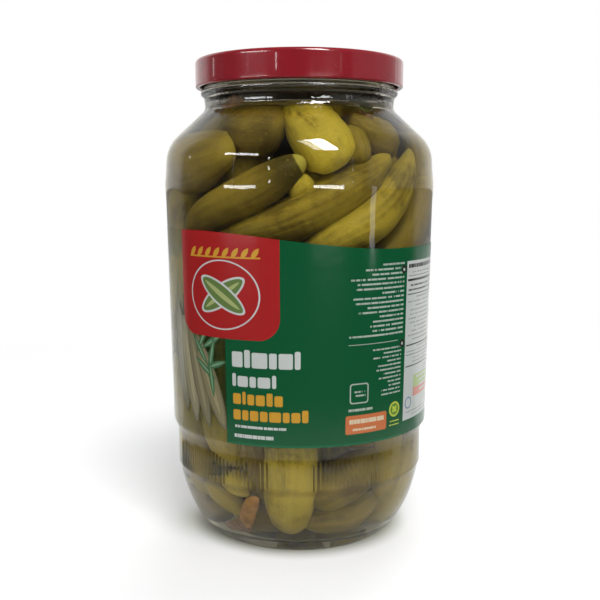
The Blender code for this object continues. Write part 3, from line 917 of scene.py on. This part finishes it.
def lid():
    """The pressed lid: a shell from the middle of its top, down the skirt, round the curl and back inside."""
    bottom = TOP - LID_HEIGHT
    inside = LID_RADIUS - 0.0006
    parts = [
        [(0.0, TOP - 0.0009), (0.018, TOP - 0.0009), (0.019, TOP - 0.0007), (0.03, TOP - 0.0007)],
        [(0.031, TOP - 0.0009), (0.0362, TOP - 0.0009), (0.0372, TOP - 0.0001)],
        arc(LID_RADIUS - 0.0015, TOP - 0.0015, 0.0015, 90, 0, 8),
        [(LID_RADIUS, TOP - 0.003), (LID_RADIUS, bottom + 0.0013)],
        arc(LID_RADIUS - 0.0008, bottom + 0.0008, 0.0008, 14, -90, 9),
        arc(LID_RADIUS - 0.0012, bottom + 0.0008, 0.0008, -90, -180, 5),
        [(inside, bottom + 0.0018), (inside, TOP - 0.0022), (inside - 0.001, TOP - 0.0008)],
        [(0.0374, TOP - 0.0008), (0.0356, TOP - 0.0016), (0.0, TOP - 0.0016)],
    ]
    section = rounded(np.concatenate(parts), 1)
    liner = clouded_finish("gold_liner", 2.0, (0.06, 0.048, 0.028), (0.095, 0.075, 0.042),
                           Roughness=0.35, Metallic=0.3)
    item = turned("twist_lid", section, [lacquer_finish(), liner], sharp=50)
    centre = read(item.data.polygons, "center", float, 3)
    normal = read(item.data.polygons, "normal", float, 3)
    radial = np.sum(centre[:, :2] * normal[:, :2], axis=1)
    inner = (centre[:, 2] > bottom + 0.0016) & (centre[:, 2] < TOP - 0.001)
    under = inner & ((radial < -0.0001) | (normal[:, 2] < -0.3))
    item.data.polygons.foreach_set("material_index", under.astype(np.int32))
    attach(item, "root")
    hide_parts("lid")


def film():
    """The printed sleeve: an outer and an inner face on the straight panel, joined at both edges."""
    phi = full_turn(COLUMNS) - 180.0
    share = np.linspace(0.0, 1.0, LABEL_ROWS)[:, None]
    z = LABEL_LOW + (label_top(phi)[None, :] - LABEL_LOW) * share
    heights = [LABEL_LOW, PANEL_BOTTOM[1], PANEL_TOP[1]]
    panel = np.interp(z, heights, [FILM_LOW_RADIUS, PANEL_BOTTOM[0], PANEL_TOP[0]])
    outer = wall_point(phi[None, :], panel + FILM_FACES[0], z)
    inner = wall_point(phi[None, :], panel + FILM_FACES[1], z)[::-1]
    points = np.concatenate([outer, inner])
    rows = len(points)
    faces = grid_faces(rows, COLUMNS)
    last = (rows - 1) * COLUMNS
    i = np.arange(COLUMNS)
    j = (i + 1) % COLUMNS
    faces += np.stack([last + i, i, j, last + j], axis=-1).tolist()
    u = np.broadcast_to((phi + 180.0) / 360.0, (rows, COLUMNS)).ravel()
    v = ((points[..., 2] - LABEL_LOW) / (LABEL_HIGH - LABEL_LOW)).ravel()
    fields = [front_left_print(), front_right_print(), table_print(), back_print()]
    middle = phi + 180.0 / COLUMNS
    field = np.select([middle < -66.0, middle < 8.6, middle < 48.7, middle < 118.0], [3, 0, 1, 2], 3)
    item = new_piece("film_label", points, faces, fields, (u, v), np.tile(field, rows), sharp=40)
    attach(item, "root")
    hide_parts("label")


# Pickles. Each is: start (angle, height), end (angle, height), diameter, bow, depth, yellow, brown,
# how much it narrows to its end, and how strong the pale scar there is

FRONT_PICKLES = [
    ((-84.0, 0.153), (-33.0, 0.159), 0.0195, -0.001, 0.0, 0.1, 0.4, 0.12, 0.0),
    ((-50.0, 0.168), (-8.0, 0.1655), 0.0195, 0.0, 0.001, 0.15, 0.55, -0.05, 0.0),
    ((-0.5, 0.177), (19.5, 0.1535), 0.0208, 0.0, 0.0, 1.0, 0.0, -0.1, 0.0),
    ((28.0, 0.165), (31.0, 0.155), 0.0105, 0.0, 0.006, 0.45, 0.45, 0.0, 0.0),
    ((32.0, 0.168), (62.0, 0.1605), 0.0155, 0.0, 0.004, 0.3, 0.6, 0.0, 0.0),
    ((-62.0, 0.129), (3.0, 0.1565), 0.016, 0.0, 0.0, 0.1, 0.42, 0.02, 1.0),
    ((-44.0, 0.1255), (50.0, 0.158), 0.0185, -0.004, 0.002, 0.4, 0.28, 0.2, 0.0),
    ((0.0, 0.12), (66.0, 0.159), 0.0175, -0.005, 0.001, 0.62, 0.1, 0.14, 0.0),
    ((34.0, 0.112), (80.0, 0.144), 0.017, -0.002, 0.005, 0.25, 0.55, 0.1, 0.0),
    ((56.0, 0.115), (90.0, 0.15), 0.018, 0.0, 0.002, 0.2, 0.65, 0.1, 0.0),
    ((10.0, 0.174), (37.0, 0.1725), 0.014, 0.0, 0.005, 0.05, 0.0, 0.1, 0.0),
    ((-5.0, 0.144), (6.5, 0.149), 0.0085, 0.0, 0.006, 0.9, 0.0, 0.0, 0.0),
    ((-84.0, 0.118), (-69.0, 0.148), 0.02, 0.0, 0.0015, 0.4, 0.3, 0.0, 0.0),
    ((-5.5, 0.09), (-5.5, 0.012), 0.02, 0.0, 0.0, 1.0, 0.0, -0.17, 0.0),
    ((6.0, 0.0225), (42.0, 0.044), 0.019, -0.0025, 0.0015, 0.35, 0.5, 0.05, 0.0),
    ((0.0, 0.015), (56.0, 0.021), 0.0178, -0.001, 0.004, 0.45, 0.55, 0.15, 0.0),
    ((48.0, 0.07), (52.0, 0.02), 0.016, 0.0, 0.0, 0.55, 0.4, 0.0, 0.0),
    ((-55.0, 0.027), (-31.5, 0.0165), 0.01, 0.001, 0.0005, 0.45, 0.35, 0.1, 0.0),
    ((-39.0, 0.033), (-26.5, 0.0245), 0.0088, 0.0, 0.001, 0.85, 0.05, 0.25, 0.0),
    ((-48.0, 0.093), (-40.0, 0.034), 0.022, 0.0, 0.001, 0.6, 0.25, 0.0, 0.0),
    ((-70.0, 0.082), (-64.0, 0.02), 0.018, 0.0, 0.0, 0.45, 0.4, 0.0, 0.0),
    ((12.0, 0.06), (48.0, 0.05), 0.017, 0.0, 0.005, 0.2, 0.7, 0.0, 0.0),
    ((-112.0, 0.0165), (-56.0, 0.015), 0.017, 0.0, 0.005, 0.1, 0.9, 0.0, 0.0),
    ((50.0, 0.0148), (112.0, 0.0165), 0.017, 0.0, 0.0055, 0.1, 0.9, 0.0, 0.0),
    ((-52.0, 0.0165), (-2.0, 0.0155), 0.015, 0.0, 0.0085, 0.35, 0.75, 0.0, 0.0),
    ((-26.0, 0.056), (-20.0, 0.021), 0.016, 0.0, 0.006, 0.3, 0.6, 0.0, 0.0),
]

# First angle, last angle, count, middle height, length, least and most lean, least and most depth
WALL_RINGS = [
    (78.0, 272.0, 9, 0.048, 0.062, -9.0, 9.0, 0.0, 0.0015),
    (-84.0, 252.0, 14, 0.101, 0.066, -9.0, 9.0, 0.0, 0.0015),
    (98.0, 262.0, 8, 0.144, 0.046, 6.0, 22.0, 0.0, 0.0015),
]
INNER_RINGS = [
    (0.0, 315.0, 8, 0.042, 0.06, -9.0, 9.0, 0.017, 0.02),
    (20.0, 335.0, 8, 0.096, 0.066, -9.0, 9.0, 0.017, 0.02),
    (5.0, 320.0, 8, 0.144, 0.052, -25.0, 25.0, 0.016, 0.019),
]


def ring_rows(rings, seed):
    """Pickles that stand round the wall in rings, leaning a little, each its own size and tone."""
    draw = np.random.default_rng(seed)
    rows = []
    for first, last, count, middle, length, least, most, near, deep in rings:
        for phi in np.linspace(first, last, count):
            phi = phi + draw.uniform(-3.0, 3.0)
            drift = math.sin(math.radians(2.6 * phi) + 90.0 * middle)
            lean = draw.uniform(least, most) + 11.0 * drift
            half = length / 2.0 * draw.uniform(0.88, 1.05)
            height = middle + draw.uniform(-0.005, 0.005) - (0.01 if abs(phi) < 80.0 else 0.0)
            ends = [(phi - lean, height - half), (phi + lean, height + half)]
            if draw.random() < 0.5:
                ends.reverse()
            rows.append((*ends, draw.uniform(0.017, 0.022), draw.uniform(-0.0045, 0.0045),
                         draw.uniform(near, deep), draw.uniform(0.25, 0.85), draw.uniform(0.0, 0.6),
                         draw.uniform(-0.05, 0.2), float(draw.random() < 0.3)))
    return rows


def girth(u, taper):
    """Full in the middle, blunt at the ends: one minus the cube of u, to a power that taper raises."""
    power = 0.48 + 0.6 * max(taper, 0.0) * smooth_step(u, 0.0, 0.8) + 0.8 * min(taper, 0.0)
    return np.maximum(1.0 - np.abs(u) ** 3.0, 0.0) ** power


def pickle_points(start, end, diameter, bow, depth, taper, seed, stations, sides):
    """A tube along the wall: its radius is girth times one less taper, with swell, lumps and warts."""
    draw = np.random.default_rng(seed)
    u = np.sin(np.radians(np.linspace(-90.0, 90.0, stations + 2)))
    t = (u + 1.0) / 2.0
    mean_radius = 0.045
    phi = start[0] + (end[0] - start[0]) * t
    z = start[1] + (end[1] - start[1]) * t
    along = np.array([math.radians(end[0] - start[0]) * mean_radius, end[1] - start[1]])
    length = float(np.linalg.norm(along))
    along = along / length
    snake = 0.02 * min(length, 0.05) * np.sin(math.pi * u + draw.uniform(0.0, 6.0))
    lift = (bow + snake) * (1.0 - u ** 2)
    phi = phi - np.degrees(lift * along[1] / mean_radius)
    z = z + lift * along[0]
    centre = wall_point(phi, reach(z, diameter / 2.0) - depth, z)
    tangent = np.gradient(centre, t, axis=0)
    tangent /= np.linalg.norm(tangent, axis=1)[:, None]
    across = np.cross(tangent, wall_point(phi, np.ones_like(z), np.zeros_like(z)))
    across /= np.linalg.norm(across, axis=1)[:, None]
    outward = np.cross(across, tangent)

    v = np.arange(sides) * 2.0 * math.pi / sides
    grid_u, grid_v = np.meshgrid(u[1:-1], v, indexing="ij")
    swell = 0.965 * (1.0 - taper * smooth_step(grid_u, 0.0, 1.0) - draw.uniform(-0.05, 0.05) * grid_u)
    swell = swell + 0.022 * np.cos(3.0 * grid_v + draw.uniform(0.0, 6.0))
    swell = swell + 0.012 * np.cos(5.0 * grid_v + 1.5 * grid_u + draw.uniform(0.0, 6.0))
    for order in (2.0, 3.7, 6.1):
        phase = draw.uniform(0.0, 6.0, 2)
        swell = swell + 0.024 / order * np.sin(order * 1.9 * grid_u + phase[0]) * np.cos(grid_v + phase[1])
    swell = swell + 0.006 * np.cos(14.0 * grid_v + 3.0 * np.sin(2.0 * grid_u)) * (1.0 - grid_u ** 2)
    warts = 34
    spot_u = draw.uniform(-0.92, 0.92, warts)
    spot_v = draw.uniform(0.0, 2.0 * math.pi, warts)
    spot_high = draw.uniform(0.006, 0.024, warts)
    spot_wide = draw.uniform(0.0008, 0.0015, warts)
    far_u = (grid_u[..., None] - spot_u) * length / 2.0
    far_v = ((grid_v[..., None] - spot_v + math.pi) % (2.0 * math.pi) - math.pi) * diameter / 2.0
    swell = swell + np.sum(spot_high * np.exp(-(far_u ** 2 + far_v ** 2) / (2.0 * spot_wide ** 2)), axis=-1)
    radius = girth(grid_u, taper) * diameter / 2.0 * swell
    ring = across[1:-1, None, :] * np.cos(grid_v)[..., None]
    ring = ring + outward[1:-1, None, :] * np.sin(grid_v)[..., None]
    body = centre[1:-1, None, :] + ring * radius[..., None]
    return np.concatenate([body.reshape(-1, 3), centre[:1], centre[-1:]]), t


def paint(item, tones):
    """A tone colour for each vertex."""
    layer = item.data.color_attributes.new("tone", "FLOAT_COLOR", "POINT")
    layer.data.foreach_set("color", np.concatenate(tones).astype(np.float32).ravel())


def pickle_piece(name, rows, finish, stations, sides, first_seed):
    """Several pickles in one mesh, each with its UV (around, along), its tone and its scar."""
    points, faces, us, vs, tones, scars = [], [], [], [], [], []
    per_pickle = stations * sides + 2
    for number, (start, end, diameter, bow, depth, yellow, brown, taper, scar) in enumerate(rows):
        body, t = pickle_points(start, end, diameter, bow, depth, taper, first_seed + number, stations, sides)
        faces += tube_faces(stations, sides, number * per_pickle)
        points.append(body)
        us.append(np.concatenate([np.tile(np.arange(sides) / sides, stations), [0.0, 0.0]]))
        vs.append(np.concatenate([np.repeat(t[1:-1], sides), [0.0, 1.0]]))
        tones.append(np.tile([yellow, brown, (number * 0.37) % 1.0, 1.0], (per_pickle, 1)))
        scars.append(np.full(per_pickle, scar))
    uv = (np.concatenate(us), np.concatenate(vs))
    item = new_piece(name, np.concatenate(points), faces, [finish], uv)
    paint(item, tones)
    mark = item.data.attributes.new("scar", "FLOAT", "POINT")
    mark.data.foreach_set("value", np.concatenate(scars).astype(np.float32))
    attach(item, "root")
    return item


def core():
    """The dark middle of the heap, a turned form that hardly shows; its colour is painted shade, where the
    pickles deep in the heap stand in shadow.
    """
    section = np.array([[0.0, 0.164], [0.02, 0.162], [0.0255, 0.14], [0.0275, 0.09], [0.0275, 0.035],
                        [0.024, 0.012], [0.0, 0.01]])
    made = clouded_finish("painted_shade_skin", 3.0, (0.03, 0.024, 0.008), (0.085, 0.066, 0.018),
                          Roughness=0.6, Specular_IOR_Level=0.02)
    item = turned("painted_shade_core", rounded(section, 3), [made], columns=72)
    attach(item, "root")


def pepper():
    """A short piece of red pepper gone brown, bent, at the lower left of the heel."""
    made, tree, shader = new_material("pepper_flesh", Roughness=0.4, Specular_IOR_Level=0.04)
    place = coordinates(tree)
    cloud = ramp(noise(place, 260.0, 3.0), 0.35, 0.65)
    feed(shader, Base_Color=blend(cloud, (0.24, 0.112, 0.026), (0.42, 0.205, 0.05)))
    add_bump(shader, noise(place, 600.0, 2.0), 0.3, 0.0005)
    sides, stations = 28, 36
    start, end = (-20.5, 0.025), (-30.0, 0.0105)
    body, _ = pickle_points(start, end, 0.0064, -0.0016, 0.0002, 0.0, 71, stations, sides)
    item = new_piece("pepper_bit", body, tube_faces(stations, sides), [made])
    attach(item, "root")
    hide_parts("pepper_piece")


# Flakes that float at the wall: angle, height, depth, length, width, thickness, turn, tone
FLAKES = [
    (44.5, 0.1755, 0.0015, 0.0085, 0.0045, 0.0009, 25.0, 0.25),
    (-48.0, 0.179, 0.0008, 0.0125, 0.0075, 0.0012, 4.0, 0.85),
    (40.0, 0.1795, 0.0005, 0.009, 0.0032, 0.0009, 6.0, 0.1),
    (41.0, 0.1722, 0.003, 0.006, 0.002, 0.0007, -30.0, 0.6),
    (-36.0, 0.0105, 0.0012, 0.015, 0.006, 0.0016, 14.0, 0.62),
    (-44.0, 0.036, 0.0004, 0.007, 0.0008, 0.0005, 60.0, 0.1),
    (-40.0, 0.0345, 0.0004, 0.006, 0.0007, 0.0005, 105.0, 0.1),
    (72.0, 0.022, 0.0006, 0.008, 0.0012, 0.0006, 40.0, 0.2),
    (120.0, 0.03, 0.0004, 0.009, 0.0014, 0.0006, 70.0, 0.15),
    (165.0, 0.026, 0.0006, 0.006, 0.004, 0.0009, 10.0, 0.7),
    (-130.0, 0.145, 0.0006, 0.009, 0.0014, 0.0006, 50.0, 0.15),
    (150.0, 0.16, 0.0006, 0.007, 0.0016, 0.0006, -20.0, 0.2),
]


def flakes():
    """Bits of herb and spice: flat egg shapes laid along the wall and crumpled by a sine."""
    made, tree, shader = new_material("herb_bits", Roughness=0.5, Specular_IOR_Level=0.04)
    place = coordinates(tree)
    tone = add_node(tree, "VertexColor", layer_name="tone")
    spice = add_node(tree, "SeparateColor", Color=tone.outputs[0]).outputs[0]
    kind = blend(ramp(spice, 0.15, 0.75), (0.05, 0.062, 0.014), (0.24, 0.115, 0.052))
    cloud = ramp(noise(place, 500.0, 3.0), 0.35, 0.65, 0.55, 1.25)
    feed(shader, Base_Color=scaled(kind, cloud))
    add_bump(shader, noise(place, 900.0, 2.0), 0.4, 0.0004)
    rows, columns = 14, 20
    profile = inner_section()[3:]
    lat, lon = np.radians(np.meshgrid(np.linspace(-80.0, 80.0, rows), full_turn(columns), indexing="ij"))
    points, faces, tones = [], [], []
    per_flake = rows * columns + 2
    for number, (phi, z, depth, length, width, thickness, turn, shade) in enumerate(FLAKES):
        x = np.concatenate([np.sin(lat).ravel(), [-1.0, 1.0]]) * length / 2.0
        y = np.concatenate([(np.cos(lat) * np.cos(lon)).ravel(), [0.0, 0.0]]) * width / 2.0
        n = np.concatenate([(np.cos(lat) * np.sin(lon)).ravel(), [0.0, 0.0]]) * thickness / 2.0
        y = y * (1.0 + 0.25 * np.sin(x * 3000.0 / (1.0 + number)))
        n = n + thickness * 0.4 * np.sin(x * 900.0 + number) * np.cos(y * 1100.0)
        angle = math.radians(turn)
        side = x * math.cos(angle) - y * math.sin(angle)
        height = z + x * math.sin(angle) + y * math.cos(angle)
        wall = np.interp(height, profile[:, 1], profile[:, 0]) - 0.0004 - thickness - depth
        points.append(wall_point(phi + np.degrees(side / wall), wall - n, height))
        faces += tube_faces(rows, columns, number * per_flake)
        tones.append(np.tile([shade, 0.0, 0.0, 1.0], (per_flake, 1)))
    item = new_piece("herb_flakes", np.concatenate(points), faces, [made])
    paint(item, tones)
    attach(item, "root")
    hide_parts("herb_leaf")


# Setting

# What the world shows in a reflection all round: angle from the front, brightness
ROOM = (
    (-180, 0.95), (-122, 0.95), (-112, 0.22), (-70, 0.06), (-55, 0.05), (26, 0.05), (29, 0.25),
    (43, 0.25), (46, 0.09), (57, 0.09), (60, 0.38), (118, 0.42), (140, 0.95), (180, 0.95),
)


def world():
    """White for the eye, soft for the lamps' fill, and a dim room with bright sides in reflections."""
    made = bpy.data.worlds.new("studio")
    bpy.context.scene.world = made
    made.use_nodes = True
    tree = made.node_tree
    x, y, z = axes(coordinates(tree, "Generated"))
    azimuth = calc("ARCTAN2", x, times(y, -1.0))
    stops = add_node(tree, "ValToRGB", Fac=times_plus(azimuth, 0.5 / math.pi, 0.5))
    elements = stops.color_ramp.elements
    while len(elements) < len(ROOM):
        elements.new(0.5)
    for item, (angle, level) in zip(elements, ROOM):
        item.position = angle / 360.0 + 0.5
        item.color = (level, level, level * 0.99, 1.0)
    room = blend(ramp(z, 0.5, 0.85), stops.outputs[0], (0.13, 0.13, 0.13))
    through, mirrored, soft = ray_kinds(tree)
    shaded = times(ramp(z, 0.055, 0.115), ramp(calc("ABSOLUTE", x), 0.7, 0.4))
    colour = blend(times(through, shaded), (1.0, 1.0, 1.0), (0.155, 0.135, 0.1))
    colour = blend(mirrored, colour, room)
    feed(tree.nodes["Background"], Color=blend(soft, colour, (0.36, 0.36, 0.37)))


def soft_box(name, azimuth, elevation, distance, width, height, brightness, seen, roll=0.0, aside=0.0):
    """An area lamp in a direction from the jar's shoulder, facing it; it lights or is mirrored, not both."""
    data = bpy.data.lights.new(name, "AREA")
    data.shape = "RECTANGLE"
    data.size = width
    data.size_y = height
    data.energy = brightness * math.pi * width * height
    item = new_object(name, data)
    turn, rise = math.radians(azimuth), math.radians(elevation)
    level = math.cos(rise) * distance
    place = mathutils.Vector((
        level * math.sin(turn), -level * math.cos(turn), math.sin(rise) * distance + 0.15
    ))
    facing = mathutils.Euler((math.radians(90.0 - elevation), 0.0, turn)).to_matrix()
    facing = facing @ mathutils.Matrix.Rotation(math.radians(roll), 3, "Z")
    item.location = place + facing @ mathutils.Vector((aside, 0.0, 0.0))
    item.rotation_euler = facing.to_euler()
    item.visible_glossy = seen
    item.visible_diffuse = not seen
    item.visible_camera = False
    item.visible_transmission = False


def floor():
    """A wide pale floor that fades into the white surround, with a painted shadow right under the jar; seen
    through the glass near the jar, and mirrored in it, it is painted darker as shade.
    """
    size = 6.0
    corners = [(-size, -size, 0.0), (size, -size, 0.0), (size, size, 0.0), (-size, size, 0.0)]
    made, tree, shader = new_material("pale_floor", Roughness=0.8, Specular_IOR_Level=0.0)
    place = coordinates(tree)
    far = add_node(tree, "VectorMath", operation="LENGTH", Vector=place).outputs["Value"]
    through, mirrored, soft = ray_kinds(tree)
    colour = blend(noise(place, 3.0, 2.0), (0.87, 0.87, 0.87), (0.9, 0.9, 0.9))
    colour = blend(soft, colour, (0.62, 0.61, 0.58))
    behind = calc("DIVIDE", axes(place)[1], far)
    seen = calc("MAXIMUM", ramp(far, 0.3, 0.1), ramp(behind, 0.28, 0.5))
    # Painted shade in reflections: mirrored, the floor shows nearly black near the jar, pale only far off and
    # behind it
    colour = blend(mirrored, colour, blend(seen, (0.04, 0.04, 0.04), (0.8, 0.8, 0.78)))
    # Painted shade: seen through the glass, the floor near the jar is a dark brown
    colour = blend(times(through, ramp(far, 0.6, 0.25)), colour, (0.24, 0.22, 0.18))
    # Painted shadow: dark right under the jar, where lamps crossing the glass would otherwise light it
    feed(shader, Base_Color=blend(ramp(far, 0.034, 0.05), (0.2, 0.19, 0.16), colour))
    away = ramp(plus(far, times(through, -0.45)), 0.14, 0.6)
    away = times(away, minus(1.0, calc("MAXIMUM", mirrored, soft)))
    to_surface(away, shader, tree.nodes.new("ShaderNodeEmission"))
    mesh = bpy.data.meshes.new("floor")
    mesh.from_pydata(corners, [], [(0, 1, 2, 3)])
    mesh.materials.append(made)
    item = new_object("floor", mesh)


def camera():
    """The photograph's view: a little above the middle, looking down ten degrees."""
    data = bpy.data.cameras.new("camera")
    data.sensor_width = 36.0
    data.lens = 52.14
    data.shift_x = 0.0012
    data.shift_y = 0.062
    data.clip_start = 0.01
    item = new_object("camera", data)
    item.location = (0.0, -0.375, 0.148)
    item.rotation_euler = (math.radians(80.0), 0.0, 0.0)
    bpy.context.scene.camera = item


glass_jar()
brine()
lid()
film()
front = pickle_piece("front_pickles", FRONT_PICKLES, pickle_finish("pickle_skin"), 52, 44, 100)
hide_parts("pickles")
pickle_piece("wall_pickles", ring_rows(WALL_RINGS, 11), pickle_finish("wall_pickle_skin"), 44, 36, 200)
pickle_piece("inner_pickles", ring_rows(INNER_RINGS, 12), pickle_finish("inner_pickle_skin"), 24, 24, 300)
core()
pepper()
flakes()
world()
# Name, azimuth, elevation, distance, width, height, brightness, seen in mirrors, roll, shift aside
for lamp in (
    ("key", 22.0, 56.0, 1.2, 0.5, 0.5, 16.0, False),
    ("side", -60.0, 30.0, 1.5, 0.6, 0.6, 3.0, False),
    ("behind", 165.0, 50.0, 1.5, 0.8, 0.6, 6.0, False),
    ("window", 20.0, 45.0, 1.2, 0.27, 0.72, 26.0, True, 14.0, 0.065),
    ("window_side", 20.0, 45.0, 1.2, 0.12, 0.66, 9.0, True, 14.0, -0.137),
    ("far_window", -49.0, 17.8, 1.5, 0.78, 0.15, 18.0, True),
    ("left_band", -49.0, -0.2, 1.2, 0.6, 0.085, 15.0, True),
    ("right_band", 23.5, -0.2, 1.2, 0.51, 0.085, 17.0, True),
    ("crease", -24.0, 9.6, 1.2, 0.022, 0.05, 16.0, True, 6.0),
    ("far_crease", -55.0, 8.8, 1.2, 0.01, 0.075, 3.0, True),
    ("side_crease", -104.0, 8.8, 1.2, 0.03, 0.06, 5.0, True, -8.0),
    ("right_crease", 44.0, 8.8, 1.2, 0.01, 0.075, 3.0, True),
    ("door", 61.5, -3.5, 0.9, 0.07, 0.14, 2.6, True),
):
    soft_box(*lamp)
floor()
camera()
bpy.context.scene.view_settings.view_transform = "Standard"
